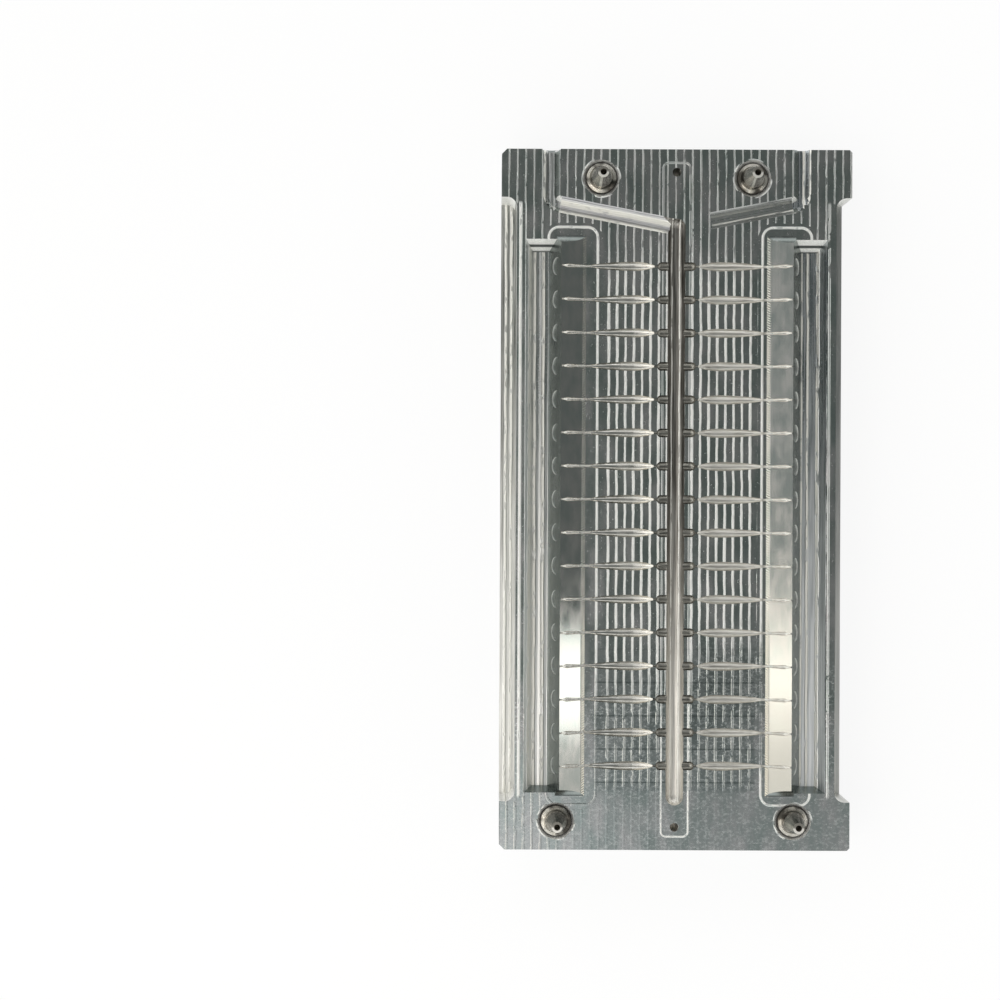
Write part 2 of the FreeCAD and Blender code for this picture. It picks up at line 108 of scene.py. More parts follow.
def add(tree, kind, links=None, **settings):
    """A node of this kind: settings for its properties, links or values for its sockets."""
    node = tree.nodes.new(kind)
    for name, value in settings.items():
        setattr(node, name, value)
    for socket, value in (links or {}).items():
        if isinstance(value, bpy.types.NodeSocket):
            tree.links.new(value, node.inputs[socket])
        else:
            node.inputs[socket].default_value = value
    return node


def new_tree(kind, name):
    """A new material or world with an empty node tree, and that tree."""
    item = kind.new(name)
    item.use_nodes = True
    item.node_tree.nodes.clear()
    return item, item.node_tree


def millimetres(tree):
    """The place on the part in millimetres: the whole vector, then x, y and z."""
    where = add(tree, "ShaderNodeTexCoord")
    scaled = add(tree, "ShaderNodeVectorMath", {0: where.outputs["Object"], 1: (1000.0,) * 3},
                 operation="MULTIPLY").outputs[0]
    parts = add(tree, "ShaderNodeSeparateXYZ", {0: scaled}).outputs
    return scaled, parts[0], parts[1], parts[2]


def grain(tree, place, size, detail=2.0, low=0.35, high=0.65):
    """Noise from 0 to 1 whose patches measure size = (x, y, z) millimetres."""
    shape = add(tree, "ShaderNodeVectorMath", {0: place, 1: tuple(1 / part for part in size)},
                operation="MULTIPLY").outputs[0]
    noise = add(tree, "ShaderNodeTexNoise", {"Vector": shape, "Scale": 1.0, "Detail": detail})
    return add(tree, "ShaderNodeMapRange", {"Value": noise.outputs["Fac"], "From Min": low,
                                            "From Max": high}).outputs[0]


def mark_distance(tree, place, pitch, start=0.0):
    """Distance in millimetres to the nearest of a row of marks."""
    turn = add(tree, "ShaderNodeMath", {0: place, 1: 1 / pitch, 2: 0.5 - start / pitch},
               operation="MULTIPLY_ADD").outputs[0]
    part = add(tree, "ShaderNodeMath", {0: turn}, operation="FRACT").outputs[0]
    off = add(tree, "ShaderNodeMath", {0: part, 1: -0.5}, operation="ADD").outputs[0]
    away = add(tree, "ShaderNodeMath", {0: off}, operation="ABSOLUTE").outputs[0]
    return add(tree, "ShaderNodeMath", {0: away, 1: pitch}, operation="MULTIPLY").outputs[0]


def band(tree, value, full, none):
    """1 where value is at or past full, 0 at or past none, smooth between."""
    return add(tree, "ShaderNodeMapRange", {"Value": value, "From Min": none, "From Max": full},
               interpolation_type="SMOOTHSTEP").outputs[0]


def joined(tree, marks, operation):
    """The marks put together two by two."""
    result = marks[0]
    for mark in marks[1:]:
        result = add(tree, "ShaderNodeMath", {0: result, 1: mark}, operation=operation).outputs[0]
    return result


def all_of(tree, *marks):
    """1 only where every mark is 1; a number among them makes the whole that much fainter."""
    return joined(tree, marks, "MULTIPLY")


def any_of(tree, *marks):
    """1 where one of the marks is 1, and nowhere less than a number among them."""
    return joined(tree, marks, "MAXIMUM")


def without(tree, first, second):
    """first where second is 0, and 0 where second is 1."""
    rest = add(tree, "ShaderNodeMath", {0: 1.0, 1: second}, operation="SUBTRACT").outputs[0]
    return all_of(tree, first, rest)


def blend(tree, share, first, second):
    """Colour or number that goes from first to second as share goes from 0 to 1."""
    colour = isinstance(second, tuple) or (isinstance(first, bpy.types.NodeSocket)
                                           and first.type == "RGBA")
    node = add(tree, "ShaderNodeMix", data_type="RGBA" if colour else "FLOAT")
    sockets = [item for item in node.inputs if item.enabled]
    for socket, value in zip(sockets, (share, first, second)):
        if isinstance(value, bpy.types.NodeSocket):
            tree.links.new(value, socket)
        else:
            socket.default_value = value
    return next(item for item in node.outputs if item.enabled)


# ---------------------------------------------------------------- places on the plate

def lines_at(tree, value, places, width):
    """1 on thin lines where value is one of the places, in millimetres."""
    lines = []
    for place in places:
        off = add(tree, "ShaderNodeMath", {0: value, 1: -place}, operation="ADD").outputs[0]
        away = add(tree, "ShaderNodeMath", {0: off}, operation="ABSOLUTE").outputs[0]
        lines.append(band(tree, away, width * 0.3, width * 0.7))
    return any_of(tree, *lines)


def reach_past(tree, x, y, middle, half):
    """Distance in millimetres out from a rectangle with this middle and these half sides."""
    flat = add(tree, "ShaderNodeCombineXYZ", {0: x, 1: y}).outputs[0]
    off = add(tree, "ShaderNodeVectorMath", {0: flat, 1: (*middle, 0.0)},
              operation="SUBTRACT").outputs[0]
    folded = add(tree, "ShaderNodeVectorMath", {0: off}, operation="ABSOLUTE").outputs[0]
    past = add(tree, "ShaderNodeVectorMath", {0: folded, 1: (*half, 0.0)},
               operation="SUBTRACT").outputs[0]
    past = add(tree, "ShaderNodeVectorMath", {0: past, 1: (0.0, 0.0, 0.0)},
               operation="MAXIMUM").outputs[0]
    return add(tree, "ShaderNodeVectorMath", {0: past}, operation="LENGTH").outputs["Value"]


def from_pin(tree, x, y):
    """Distances in millimetres from the nearest guide pin's axis: straight, across and along."""
    offs = []
    axis_aside = blend(tree, band(tree, y, 1.0, -1.0), FAR_PIN_ASIDE, SPRUE_PIN_ASIDE)
    for value, axis in ((x, axis_aside), (y, PIN_ALONG)):
        way = add(tree, "ShaderNodeMath", {0: value}, operation="SIGN").outputs[0]
        nearest = add(tree, "ShaderNodeMath", {0: way, 1: axis}, operation="MULTIPLY").outputs[0]
        offs.append(add(tree, "ShaderNodeMath", {0: value, 1: nearest},
                        operation="SUBTRACT").outputs[0])
    spoke = add(tree, "ShaderNodeCombineXYZ", {0: offs[0], 1: offs[1]}).outputs[0]
    radius = add(tree, "ShaderNodeVectorMath", {0: spoke}, operation="LENGTH").outputs["Value"]
    return radius, offs[0], offs[1]


# ---------------------------------------------------------------- metal finishes

def metal(tree, colour, roughness, height, depth):
    """Bare metal with marks: height from 0 to 1 stands for depth in millimetres."""
    bump = add(tree, "ShaderNodeBump", {"Height": height, "Strength": 1.0,
                                        "Distance": depth * 0.001})
    shader = add(tree, "ShaderNodeBsdfPrincipled", {
        "Base Color": colour, "Metallic": 1.0, "Roughness": roughness, "Normal": bump.outputs[0]})
    add(tree, "ShaderNodeOutputMaterial", {"Surface": shader.outputs[0]})


def pass_lips(tree, place, x, y, over_rows, as_cut, gaps):
    """Raised lips between the passes of the end mill: the mask for their bump and for the near-white
    highlight painted on them.
    """
    sway = grain(tree, place, (40.0, 12.0, 40.0), 3.0)
    swayed = add(tree, "ShaderNodeMath", {0: sway, 1: 0.3, 2: x},
                 operation="MULTIPLY_ADD").outputs[0]
    away = mark_distance(tree, swayed, PASS_STEP, -0.3)
    thick = blend(tree, grain(tree, place, (4.0, 40.0, 5.0), 2.0), 0.6, 0.95)
    thick = all_of(tree, thick, blend(tree, over_rows, 0.62, 1.0))
    lip_highlight = add(tree, "ShaderNodeMath", {0: away, 1: thick}, operation="DIVIDE").outputs[0]
    lip_highlight = band(tree, lip_highlight, 0.55, 1.05)
    # fainter at the sprue end, and along the right side past the ledge's wall
    at_ends = blend(tree, over_rows, 0.56, 1.0)
    at_side = blend(tree, all_of(tree, band(tree, x, 90.0, 88.0), over_rows), 1.0, 0.5)
    # hardly left where the far end is rubbed: most in the last rows, then along the left side
    at_left = blend(tree, band(tree, x, -60.0, -75.0), 0.14, 0.03)
    rubbed_and_lit = blend(tree, band(tree, y, -160.0, -168.0), at_left, all_of(tree, gaps, 0.24))
    return all_of(tree, lip_highlight, gaps, at_ends, at_side, blend(tree, as_cut, rubbed_and_lit, 1.0))


def cutter_rim_highlights(tree, place, x, y, around, relief, land, as_cut, gaps):
    """Lines of painted highlight, with a slight bump, where a cutter ran round the ridges, the
    relief, the lands and the pins.
    """
    # painted highlight in full as cut, and still so at the right ridge's far end
    turn = all_of(tree, band(tree, y, -156.0, -150.0), band(tree, x, 1.0, -1.0))
    round_ridge = all_of(tree, lines_at(tree, around, (RIM_RADIUS,), 1.2),
                         blend(tree, any_of(tree, as_cut, turn), 0.12, 1.0))
    left_land = all_of(tree, lines_at(tree, x, (-89.0,), 1.5), land)
    right_land = all_of(tree, lines_at(tree, x, (87.3,), 1.1), land, gaps, 0.5)
    round_relief = all_of(tree, lines_at(tree, relief, (RELIEF_CORNER,), 0.9),
                          blend(tree, as_cut, 1.0, 0.35))
    # painted highlight: a ring at the edge of each pin's bore
    round_pin = all_of(tree, lines_at(tree, from_pin(tree, x, y)[0], (BORE_MOUTH + 0.3,), 0.9),
                       grain(tree, place, (8.0, 8.0, 8.0), 1.0, 0.44, 0.6))
    rim_highlights = any_of(tree, round_ridge, left_land, right_land, round_relief, round_pin)
    return all_of(tree, rim_highlights, any_of(tree, gaps, 0.5))


def face_milled():
    """Parting face of milled aluminium, cleared by an end mill in passes along the plate.

    Each pass leaves fine raised lips beside the next. Painted near-white as highlight, like the edge
    lines round the ridges, relief, lands and pins, they stand as broken bright lines on a dark
    sheen.
    The lips, a few tenths of a millimetre wide, are drawn 1 to 2 mm wide, to show.
    """
    material, tree = new_tree(bpy.data.materials, "aluminium_face_milled")
    place, x, y, _ = millimetres(tree)
    aside = add(tree, "ShaderNodeMath", {0: x}, operation="ABSOLUTE").outputs[0]
    lengthwise = add(tree, "ShaderNodeMath", {0: y}, operation="ABSOLUTE").outputs[0]
    over_rows = band(tree, y, 118.0, 150.0)
    # 1 as cut, 0 where the far end is rubbed clean, which starts sooner on the right side
    run = add(tree, "ShaderNodeMath", {0: band(tree, x, 20.0, 0.0), 1: -25.0, 2: y},
              operation="MULTIPLY_ADD").outputs[0]
    as_cut = band(tree, run, -85.0, -128.0)
    # breaks in the lips, few over the middle rows
    gaps = grain(tree, place, (3.0, 7.0, 3.0), 3.0, 0.33, 0.46)
    gaps = any_of(tree, gaps, blend(tree, all_of(tree, over_rows, as_cut), 0.3, 0.9))
    lip_highlight = pass_lips(tree, place, x, y, over_rows, as_cut, gaps)
    # none beside the ridges, where a ball cutter took them off, on the narrow lands between
    # trough and ledge, or in the relief where it is rubbed
    cores = [reach_past(tree, x, y, (middle, ROWS_MIDDLE), RIM_CORE) for middle in RIM_MIDDLES]
    around = add(tree, "ShaderNodeMath", {0: cores[0], 1: cores[1]}, operation="MINIMUM").outputs[0]
    lip_highlight = all_of(tree, lip_highlight, band(tree, around, RIM_RADIUS + 3.0, RIM_RADIUS + 2.4))
    land = all_of(tree, band(tree, aside, TROUGH_EDGE + 0.2, TROUGH_EDGE - 0.3),
                  band(tree, lengthwise, 168.0, 171.0))
    lip_highlight = without(tree, lip_highlight, land)
    relief = reach_past(tree, x, y, (0.0, 0.0), (RELIEF_HALF - RELIEF_CORNER,
                                                 RELIEF_END - RELIEF_CORNER))
    in_relief = band(tree, relief, RELIEF_CORNER - 0.4, RELIEF_CORNER)
    lip_highlight = without(tree, lip_highlight, without(tree, in_relief, as_cut))
    rim_highlight = cutter_rim_highlights(tree, place, x, y, around, relief, land, as_cut, gaps)
    mark = any_of(tree, lip_highlight, rim_highlight)
    # handling marks and short scratches, most at the rubbed end
    speck = grain(tree, place, (0.9, 1.5, 0.9), 3.0, 0.68, 0.77)
    rub = grain(tree, place, (1.7, 1.2, 1.7), 5.0, 0.48, 0.7)
    rub = all_of(tree, rub, blend(tree, as_cut, 0.6, 0.12))
    # cross cuts midway between the last rows, on a darker ground
    last_rows = all_of(tree, band(tree, y, -95.0, -80.0), band(tree, y, -165.0, -168.0),
                       band(tree, aside, 44.0, 47.0))
    midway = mark_distance(tree, y, ROW_PITCH, FIRST_ROW + ROW_PITCH / 2)
    crossing = all_of(tree, lines_at(tree, midway, (0.0,), 0.9), last_rows, gaps)
    mottle = grain(tree, place, (9.0, 22.0, 9.0), 4.0)
    colour = blend(tree, mottle, linear("A4ADA9"), linear("BCBCBB"))
    colour = blend(tree, all_of(tree, last_rows, 0.7), colour, linear("8E9694"))
    colour = blend(tree, rub, colour, linear("DDE0DE"))
    colour = blend(tree, crossing, colour, linear("767E7C"))
    # painted highlight: near-white on the lips and the edge lines
    colour = blend(tree, mark, colour, linear("FCFCF8"))
    rough = blend(tree, mottle, 0.17, 0.25)
    rough = blend(tree, rub, rough, 0.36)
    rough = blend(tree, speck, rough, 0.45)
    rough = blend(tree, mark, rough, 0.55)
    height = add(tree, "ShaderNodeMath", {0: speck, 1: 0.05, 2: mark},
                 operation="MULTIPLY_ADD").outputs[0]
    metal(tree, colour, rough, height, 0.42)
    return material


def slope_finished():
    """Long slopes of the ridges, aluminium brought down by a ball cutter, almost a mirror.

    The cutter's steps of about 0.2 mm are drawn 0.8 mm apart, to show, and its slanting entry
    marks, 1.4 mm apart, stand as beads along the foot of the slope, bumped and painted a bright
    cream as highlight, strongest toward the far end.
    """
    material, tree = new_tree(bpy.data.materials, "aluminium_slope_finished")
    place, x, y, _ = millimetres(tree)
    aside = add(tree, "ShaderNodeMath", {0: x}, operation="ABSOLUTE").outputs[0]
    upper = band(tree, y, -62.0, -84.0)
    foot = band(tree, aside, SLOPE_START + 1.4, SLOPE_START + 2.6)
    slant = add(tree, "ShaderNodeMath", {0: aside, 1: 0.6, 2: y},
                operation="MULTIPLY_ADD").outputs[0]
    bead_highlights = band(tree, mark_distance(tree, slant, 1.4), 0.15, 0.6)
    bead_highlights = all_of(tree, bead_highlights, foot, blend(tree, upper, 0.7, 0.3))
    fine = band(tree, mark_distance(tree, x, 0.8), 0.0, 0.4)
    cloud = grain(tree, place, (6.0, 14.0, 7.0), 4.0)
    # painted shade: the right slope darker from 90 mm on the far side of the middle, in full past
    # 150 mm
    far_right_shade = all_of(tree, band(tree, x, 1.0, -1.0), band(tree, y, -150.0, -90.0))
    colour = blend(tree, cloud, linear("AEB5B1"), linear("C0C1BD"))
    colour = blend(tree, far_right_shade, colour, linear("A0A29E"))
    # painted highlight: bright cream on the beads
    colour = blend(tree, bead_highlights, colour, linear("EFE6CF"))
    on_left = band(tree, x, -1.0, 1.0)
    rough = blend(tree, on_left, blend(tree, cloud, 0.15, 0.2), blend(tree, cloud, 0.07, 0.11))
    rough = blend(tree, bead_highlights, rough, 0.4)
    height = add(tree, "ShaderNodeMath", {0: fine, 1: 0.02, 2: bead_highlights},
                 operation="MULTIPLY_ADD").outputs[0]
    metal(tree, colour, rough, height, 0.2)
    return material


def steep_finished():
    """Steep faces and paddles: smooth aluminium with faint level steps, painted a darker grey than
    the slopes as shade.

    The steps of about 0.2 mm are drawn 0.9 mm apart, to show.
    """
    material, tree = new_tree(bpy.data.materials, "aluminium_steep_finished")
    place, _, _, z = millimetres(tree)
    steps = band(tree, mark_distance(tree, z, 0.9), 0.0, 0.45)
    cloud = grain(tree, place, (5.0, 9.0, 5.0), 4.0)
    # painted shade: a darker grey than the slopes of the same ridges
    colour = blend(tree, cloud, linear("838A88"), linear("8E9492"))
    rough = blend(tree, cloud, 0.23, 0.28)
    metal(tree, colour, rough, steps, 0.02)
    return material


def cut_along(name, dark, light, lips, depth, roughness, tilt=0.0, furrow=0.0, furrow_step=0.9,
              painted_light=(-130.0, 110.0), lip_width=1.5):
    """Aluminium floors and walls of long cuts: streaks, and lips where two passes met, bumped and
    painted near-white as highlight.

    lips gives the places of the lips across the cut, depth how high they stand, tilt the angle in
    radians by which the cut leans off the plate's length on each side, furrow how steep the fine
    furrows are, as rise over run, and furrow_step how far apart they are. The next argument gives
    the places along the plate, full then none, over which a painted light draws the colour toward
    the light one, strongest toward the far end. The streaks are drawn 0.8 mm wide, several times
    as wide as the cutter's own, to show.
    """
    material, tree = new_tree(bpy.data.materials, name)
    place, x, y, z = millimetres(tree)
    if tilt:
        aside = add(tree, "ShaderNodeMath", {0: x}, operation="ABSOLUTE").outputs[0]
        sheared = add(tree, "ShaderNodeMath", {0: aside, 1: -math.tan(tilt), 2: y},
                      operation="MULTIPLY_ADD").outputs[0]
        across = add(tree, "ShaderNodeMath", {0: sheared, 1: math.cos(tilt)},
                     operation="MULTIPLY").outputs[0]
        run = aside
    else:
        across, run = x, y
    spot = add(tree, "ShaderNodeCombineXYZ", {0: across, 1: run, 2: z}).outputs[0]
    sway = grain(tree, spot, (12.0, 30.0, 12.0), 3.0)
    swayed = add(tree, "ShaderNodeMath", {0: sway, 1: 0.4, 2: across},
                 operation="MULTIPLY_ADD").outputs[0]
    gaps = grain(tree, spot, (3.0, 8.0, 3.0), 3.0, 0.32, 0.45)
    lip_highlight = all_of(tree, lines_at(tree, swayed, lips, lip_width), any_of(tree, gaps, 0.4))
    streak = grain(tree, spot, (0.8, 45.0, 0.8), 3.0)
    # painted light: the colour is drawn toward the light one over this span, strongest at the far
    # end
    rubbed_and_lit = band(tree, y, *painted_light)
    streak = add(tree, "ShaderNodeMath", {0: streak, 1: 0.45, 2: all_of(tree, rubbed_and_lit, 0.55)},
                 operation="MULTIPLY_ADD").outputs[0]
    speck = grain(tree, spot, (0.9, 1.6, 0.9), 2.0, 0.64, 0.74)
    colour = blend(tree, streak, linear(dark), linear(light))
    # painted highlight: near-white on the lips, which also stand up in the bump
    colour = blend(tree, lip_highlight, colour, linear("F7F6F0"))
    rough = blend(tree, streak, *roughness)
    rough = blend(tree, any_of(tree, speck, lip_highlight), rough, 0.62)
    height = add(tree, "ShaderNodeMath", {0: streak, 1: 0.12, 2: lip_highlight},
                 operation="MULTIPLY_ADD").outputs[0]
    if furrow:
        wave = mark_distance(tree, swayed, furrow_step)
        height = add(tree, "ShaderNodeMath", {0: wave, 1: furrow / depth, 2: height},
                     operation="MULTIPLY_ADD").outputs[0]
    metal(tree, colour, rough, height, depth)
    return material


def cavity_cut():
    """Cavities of pale aluminium with fine passes along each lure, polished at the left rumps.

    The passes of about 0.1 mm are drawn 0.6 mm wide, to show.
    """
    material, tree = new_tree(bpy.data.materials, "aluminium_cavity")
    place, x, _, _ = millimetres(tree)
    passes = grain(tree, place, (22.0, 0.6, 0.6), 2.0)
    patch = grain(tree, place, (7.0, 19.0, 19.0), 2.0)
    unpolished = any_of(tree, band(tree, x, -30.0, -38.0), band(tree, x, -49.0, -47.0))
    unpolished = all_of(tree, unpolished, blend(tree, patch, 0.7, 1.0))
    colour = blend(tree, passes, linear("C9C6BE"), linear("F1EFE9"))
    rough = blend(tree, passes, 0.2, 0.42)
    rough = blend(tree, unpolished, 0.08, rough)
    on_right = all_of(tree, band(tree, x, 1.0, -1.0), 0.6)
    rough = blend(tree, on_right, rough, 0.46)
    metal(tree, colour, rough, passes, 0.015)
    return material


def branch_cut():
    """Branches and gates: short cuts in aluminium left as the cutter made them, painted dark as
    shade in the narrow grooves.

    The passes of about 0.1 mm are drawn 0.4 mm wide, to show.
    """
    material, tree = new_tree(bpy.data.materials, "aluminium_branch")
    place = millimetres(tree)[0]
    passes = grain(tree, place, (9.0, 0.4, 0.4), 2.0)
    # painted shade: dark in the narrow grooves
    colour = blend(tree, passes, linear("6E6C66"), linear("A9A79F"))
    rough = blend(tree, passes, 0.2, 0.36)
    metal(tree, colour, rough, passes, 0.03)
    return material


def rough_rim_highlight():
    """Rims and end walls, where the turning cutter left the aluminium rough, coloured near-white as
    a painted highlight.

    The torn grain of about 0.1 mm is drawn 0.6 mm wide, to show. At the sprue end the trough's
    end wall has painted shade: a dark line at the stepped edge and a dark foot.
    """
    material, tree = new_tree(bpy.data.materials, "aluminium_rough_rim")
    place, x, y, z = millimetres(tree)
    aside = add(tree, "ShaderNodeMath", {0: x}, operation="ABSOLUTE").outputs[0]
    marks = grain(tree, place, (0.6, 0.6, 0.6), 2.0)
    # painted shade on the trough's end wall at the sprue end: a line at the stepped edge and the
    # foot
    step_shade = any_of(tree, lines_at(tree, z, (PARTING - 4.4,), 1.7),
                  band(tree, z, PARTING - 8.2, PARTING - 7.2))
    step_shade = all_of(tree, step_shade, band(tree, y, 140.6, 139.8), band(tree, aside, 88.0, 89.0))
    # painted highlight: near-white
    colour = blend(tree, marks, linear("E2E2DE"), linear("FAFAF7"))
    colour = blend(tree, step_shade, colour, linear("5C605E"))
    rough = blend(tree, marks, 0.5, 0.7)
    metal(tree, colour, rough, marks, 0.05)
    return material


def side_milled():
    """Outer sides and back of side-milled aluminium, an even satin with fine upright marks.

    The marks of about 0.1 mm are drawn 0.5 mm wide, to show.
    """
    material, tree = new_tree(bpy.data.materials, "aluminium_side_milled")
    place = millimetres(tree)[0]
    marks = grain(tree, place, (0.5, 0.5, 30.0), 3.0)
    cloud = grain(tree, place, (25.0, 25.0, 25.0), 4.0)
    colour = blend(tree, cloud, linear("BEC1BF"), linear("C4C6C4"))
    rough = blend(tree, marks, 0.3, 0.42)
    metal(tree, colour, rough, marks, 0.03)
    return material


def bore_turned():
    """Bored aluminium round the pins, with rings from the boring tool that catch the light.

    The rings of about 0.1 mm are drawn 0.5 mm apart, to show.
    """
    material, tree = new_tree(bpy.data.materials, "aluminium_bored")
    place, _, _, z = millimetres(tree)
    rings = band(tree, mark_distance(tree, z, 0.5), 0.0, 0.25)
    cloud = grain(tree, place, (3.0, 3.0, 3.0), 3.0)
    colour = blend(tree, cloud, linear("C9C8C0"), linear("EDEAE0"))
    metal(tree, colour, 0.4, rings, 0.02)
    return material


def ground_steel():
    """Guide pins of hardened steel, ground round and turned across the shoulder: dark and glossy.

    The turned rings of under 0.1 mm are drawn 0.4 and 0.5 mm apart, to show.
    """
    material, tree = new_tree(bpy.data.materials, "steel_ground")
    place, x, y, z = millimetres(tree)
    radius, across, along = from_pin(tree, x, y)
    shoulder = band(tree, radius, PIN_RADIUS + 0.4, PIN_RADIUS)
    # the flat of the tip, round its centre hole
    tip = without(tree, band(tree, z, PIN_TOP - 0.3, PIN_TOP - 0.6), band(tree, radius, 1.6, 1.9))
    turned = all_of(tree, band(tree, mark_distance(tree, radius, 0.5), 0.0, 0.25), shoulder)
    rings = band(tree, mark_distance(tree, z, 0.4), 0.0, 0.2)
    cloud = grain(tree, place, (4.0, 4.0, 4.0), 4.0)
    painted_light = grain(tree, place, (8.0, 8.0, 8.0), 1.0, 0.43, 0.56)
    # painted highlight as a bright streak on the pin's far-end side, and painted shade as a dark
    # ring in the gap where the shoulder meets the bore
    painted_streak = all_of(tree, lines_at(tree, across, (-1.0,), 1.4), band(tree, along, -3.0, -2.4))
    painted_gap_shade = band(tree, radius, 8.8, 8.3)
    colour = blend(tree, cloud, linear("7A7770"), linear("908C85"))
    # painted highlights and shade on the turned shoulder, in patches from dark to near-white
    colour = blend(tree, shoulder, colour, blend(tree, painted_light, linear("66635D"), linear("F2EEE4")))
    colour = blend(tree, painted_streak, colour, linear("DEDAD0"))
    # painted highlight: the tip's flat lighter on its far-end side
    colour = blend(tree, tip, colour, blend(tree, band(tree, along, -0.6, 0.8),
                                            linear("8E8B84"), linear("F4F1EA")))
    colour = blend(tree, painted_gap_shade, colour, linear("302E2B"))
    rough = blend(tree, cloud, 0.08, 0.15)
    rough = blend(tree, tip, rough, 0.5)
    height = add(tree, "ShaderNodeMath", {0: rings, 1: 0.15, 2: turned},
                 operation="MULTIPLY_ADD").outputs[0]
    metal(tree, colour, rough, height, 0.08)
    return material


# ---------------------------------------------------------------- which face takes which finish

FINISHES = {
    "face": face_milled(),
    "slope": slope_finished(),
    "steep": steep_finished(),
    # painted light: the left trough is given lighter colours than the right one
    "trough_left": cut_along("aluminium_trough_rough_painted_lighter", "BABDBC", "FFFFFD", (-75.4, -80.4, -83.4),
                             depth=0.8, roughness=(0.22, 0.5), furrow=0.16, furrow_step=2.6,
                             lip_width=1.9),
    "trough_right": cut_along("aluminium_trough", "989FA2", "F0F2F3", (73.0, 76.6, 82.2),
                              depth=0.6, roughness=(0.2, 0.5), furrow=0.06),
    "ledge_left": cut_along("aluminium_ledge_rough", "868884", "FBFAF6", (-93.6, -96.8),
                            depth=0.5, roughness=(0.26, 0.66), furrow=0.14),
    "ledge_right": cut_along("aluminium_ledge", "B4B6B4", "DFDFDB", (94.0,),
                             depth=0.3, roughness=(0.3, 0.5)),
    "runner": cut_along("aluminium_runner", "524F4A", "ECE9E2", (-1.9, 2.4),
                        depth=0.12, roughness=(0.34, 0.46), painted_light=(-150.0, 10.0), lip_width=0.7),
    # painted light: the left channel is given lighter colours than the right one
    "channel_left": cut_along("aluminium_channel_rough_painted_lighter", "A9A9AC", "F4F4F2", (154.3, 148.2),
                              depth=0.3, roughness=(0.34, 0.56), tilt=CHANNEL_TILT, furrow=0.3,
                              lip_width=3.2),
    "channel_right": cut_along("aluminium_channel", "B4B6B4", "CACBC8", (150.5,),
                               depth=0.12, roughness=(0.26, 0.34), tilt=CHANNEL_TILT, furrow=0.02,
                               lip_width=0.9),
    # painted shade: both sprues darker than the face, the left one most
    "sprue_left": cut_along("aluminium_sprue_painted_darker", "5A605E", "7B807E", (-75.4,),
                            depth=0.06, roughness=(0.14, 0.2)),
    "sprue_right": cut_along("aluminium_sprue", "7F8381", "A3A5A2", (67.4, 75.6),
                             depth=0.15, roughness=(0.14, 0.22)),
    "cavity": cavity_cut(),
    "branch": branch_cut(),
    "rough_rim_highlight": rough_rim_highlight(),
    "side": side_milled(),
    "bore": bore_turned(),
}


def finish_of(centre, normal):
    """Name of the finish for a facet of the plate, by where it lies and how it faces."""
    x, y, z = centre * 1000
    aside = abs(x)
    side = "left" if x < 0 else "right"
    below = PARTING - z
    upright = abs(normal.z) < 0.1
    outward = normal.x * x / max(aside, 0.001)
    pin_aside = SPRUE_PIN_ASIDE if y > 0 else FAR_PIN_ASIDE
    if math.hypot(aside - pin_aside, abs(y) - PIN_ALONG) < RECESS_RADIUS + 0.1 and below > 0.01:
        return "rough_rim_highlight" if 0.3 < normal.z < 0.95 else "bore"
    if z < 0.05 or aside > HALF_WIDTH - 0.1 or abs(y) > HALF_LENGTH - 0.1:
        return "side"
    if upright and aside > HALF_WIDTH - 3.1 and abs(y) > HALF_LENGTH - 4.0:
        return "side"
    past_ledge_wall = aside > LEDGE_WALL - 0.1
    in_ledge_corner = upright and aside > LEDGE_WALL - LEDGE_CORNER - 0.5
    if (past_ledge_wall or in_ledge_corner) and below > 0.6:
        if y > 0 and normal.y < -0.5:
            return "rough_rim_highlight"
        return "side" if abs(normal.x) > 0.9 else "ledge_" + side
    among_rows = abs(y - ROWS_MIDDLE) < HALF_ROWS
    on_steep = CREST - 0.3 < aside < TROUGH_FOOT + 0.1 and below < TROUGH_DROP + 0.1
    if on_steep and among_rows and outward < 0.75:
        return "rough_rim_highlight"
    if on_steep and outward > 0.6:
        return "steep"
    if below < -0.02:
        if abs(normal.y) > 0.12:
            return "cavity" if among_rows else "steep"
        return "slope"
    if CREST < aside < TROUGH_EDGE + 0.1 and below > 0.6:
        if normal.y > 0.3 and abs(normal.x) < 0.3:
            return "steep"
        return "rough_rim_highlight" if normal.y < -0.3 else "trough_" + side
    if below <= RELIEF_DROP + 0.01:
        return "face"
    if aside <= RUNNER_RADIUS + 0.05:
        return "runner"
    if y > FIRST_ROW + 8.0:
        return ("sprue_" if aside > CREST and y > SPRUES_START else "channel_") + side
    if aside < BRANCH_END:
        return "branch"
    return "cavity" if aside < CREST + 1.0 else "face"


plate.data.materials.clear()
for material in FINISHES.values():
    plate.data.materials.append(material)
names = list(FINISHES)
for facet in plate.data.polygons:
    facet.material_index = names.index(finish_of(facet.center, facet.normal))
steel = ground_steel()
for pin in pins:
    pin.data.materials.clear()
    pin.data.materials.append(steel)


# ---------------------------------------------------------------- floor, light and camera, in metres

def white_paper():
    """Matt white paper, which the eye and the metal see as a plain white ground."""
    material, tree = new_tree(bpy.data.materials, "white_paper")
    path = add(tree, "ShaderNodeLightPath").outputs
    seen = any_of(tree, path["Is Camera Ray"], path["Is Glossy Ray"], path["Is Transmission Ray"])
    matt = add(tree, "ShaderNodeBsdfDiffuse", {"Color": linear("F4F4F4")}).outputs[0]
    glow = add(tree, "ShaderNodeEmission", {"Color": (1, 1, 1, 1), "Strength": 1.04}).outputs[0]
    mixed = add(tree, "ShaderNodeMixShader", {0: all_of(tree, seen, 0.8), 1: matt, 2: glow})
    add(tree, "ShaderNodeOutputMaterial", {"Surface": mixed.outputs[0]})
    return material


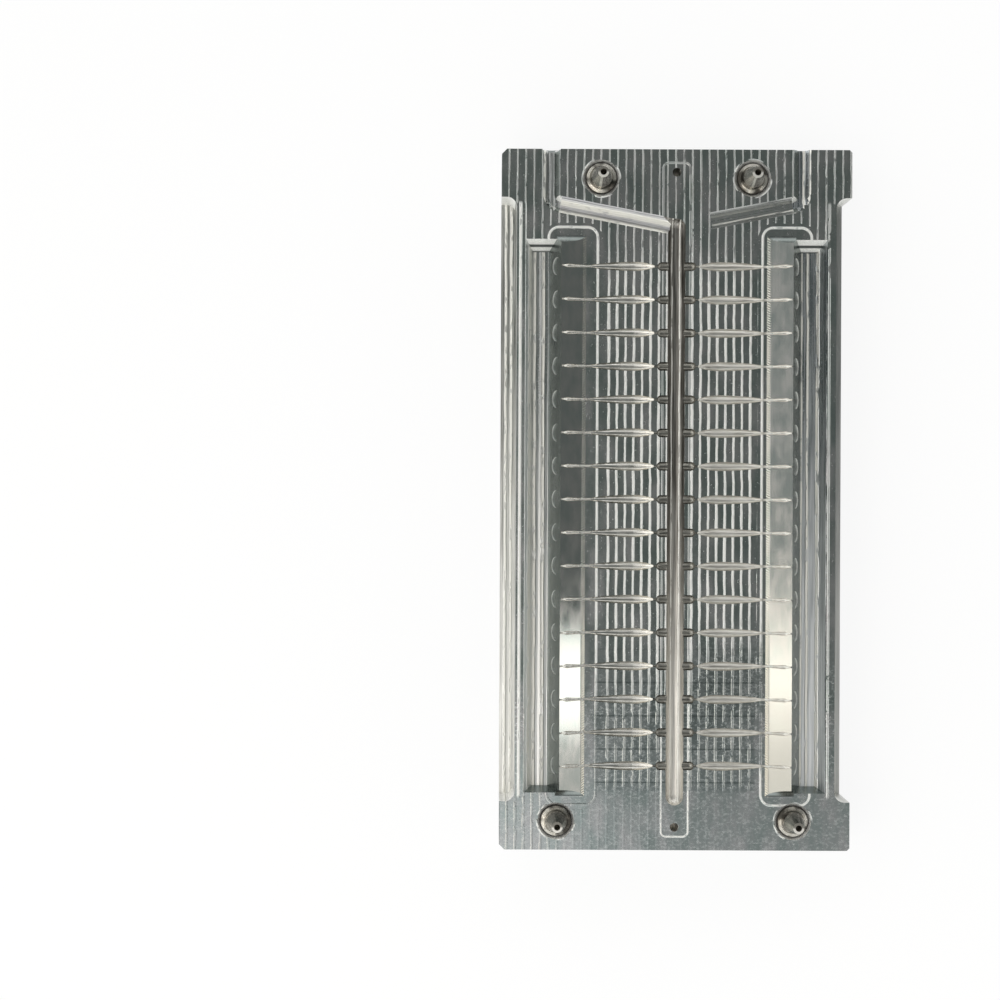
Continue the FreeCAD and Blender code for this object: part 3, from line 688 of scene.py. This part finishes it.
def lay_floor(reach, gap):
    """A floor of white paper that reaches this far to each side, just under the plate's back."""
    mesh = bpy.data.meshes.new("floor")
    mesh.from_pydata([(-reach, -reach, 0), (reach, -reach, 0), (reach, reach, 0),
                      (-reach, reach, 0)], [], [(0, 1, 2, 3)])
    floor = bpy.data.objects.new("floor", mesh)
    floor.location.z = -gap
    floor.data.materials.append(white_paper())
    bpy.context.scene.collection.objects.link(floor)


def light_room():
    """A room that is bright all round and dark overhead, darkest a little to the right."""
    world, tree = new_tree(bpy.data.worlds, "studio")
    where = add(tree, "ShaderNodeTexCoord").outputs["Generated"]
    overhead = add(tree, "ShaderNodeVectorMath", {0: where, 1: (0.259, 0.03, 0.966)},
                   operation="DOT_PRODUCT").outputs["Value"]
    ramp = add(tree, "ShaderNodeValToRGB", {0: overhead})
    stops = ramp.color_ramp.elements
    stops[0].position = 0.0
    stops[0].color = (1.5, 1.5, 1.48, 1)
    stops[1].position = 1.0
    stops[1].color = (0.15, 0.165, 0.16, 1)
    for position, level in ((0.57, 1.3), (0.74, 0.38), (0.88, 0.19)):
        stop = stops.new(position)
        stop.color = (level, level * 1.01, level, 1)
    glow = add(tree, "ShaderNodeBackground", {"Color": ramp.outputs[0], "Strength": 1.0})
    add(tree, "ShaderNodeOutputWorld", {"Surface": glow.outputs[0]})
    bpy.context.scene.world = world


CARD_HEIGHT = 1.5


def softbox(name, west, east, near, far, level, colour):
    """A card overhead that faces down, between these places, as bright as this level."""
    lamp = bpy.data.lights.new(name, "AREA")
    lamp.shape = "RECTANGLE"
    lamp.size = east - west
    lamp.size_y = far - near
    lamp.energy = level * math.pi * lamp.size * lamp.size_y
    lamp.color = linear(colour)[:3]
    item = bpy.data.objects.new(name, lamp)
    item.location = ((west + east) / 2, (near + far) / 2, CARD_HEIGHT)
    bpy.context.scene.collection.objects.link(item)


def aim_camera(place, turn, seen_width, shift):
    """A camera that looks straight down and sees this width from a metre away."""
    data = bpy.data.cameras.new("camera")
    data.sensor_width = 36.0
    data.lens = data.sensor_width / seen_width
    data.shift_x, data.shift_y = shift
    data.clip_start = 0.05
    data.clip_end = 60.0
    camera = bpy.data.objects.new("camera", data)
    camera.location = place
    camera.rotation_euler.z = turn
    bpy.context.scene.collection.objects.link(camera)
    bpy.context.scene.camera = camera


lay_floor(12.0, 0.0005)
light_room()
softbox("softbox_west_side", -0.42, -0.2, -0.42, 0.3, 1.4, "FBFAF6")
softbox("softbox_west", -1.3, -0.4, -0.36, -0.2, 2.6, "FFF4E8")
softbox("softbox_west_low", -1.3, -0.4, -1.1, -0.36, 1.25, "FFF6EA")
softbox("softbox_east", 0.7, 1.5, -0.39, -0.225, 2.4, "FFFBF6")
softbox("softbox_east_low", 0.7, 1.5, -1.1, -0.39, 0.6, "FFFBF6")
softbox("softbox_middle", -0.35, 0.02, -1.0, -0.36, 0.95, "F8FBFF")
softbox("softbox_middle_east", 0.02, 0.65, -1.0, -0.38, 0.28, "F8FBFF")
aim_camera((-0.106, 0.0063, 1.040), 0.0045, 0.5707, (0.0100, -0.0121))
bpy.context.scene.view_settings.view_transform = "Standard"
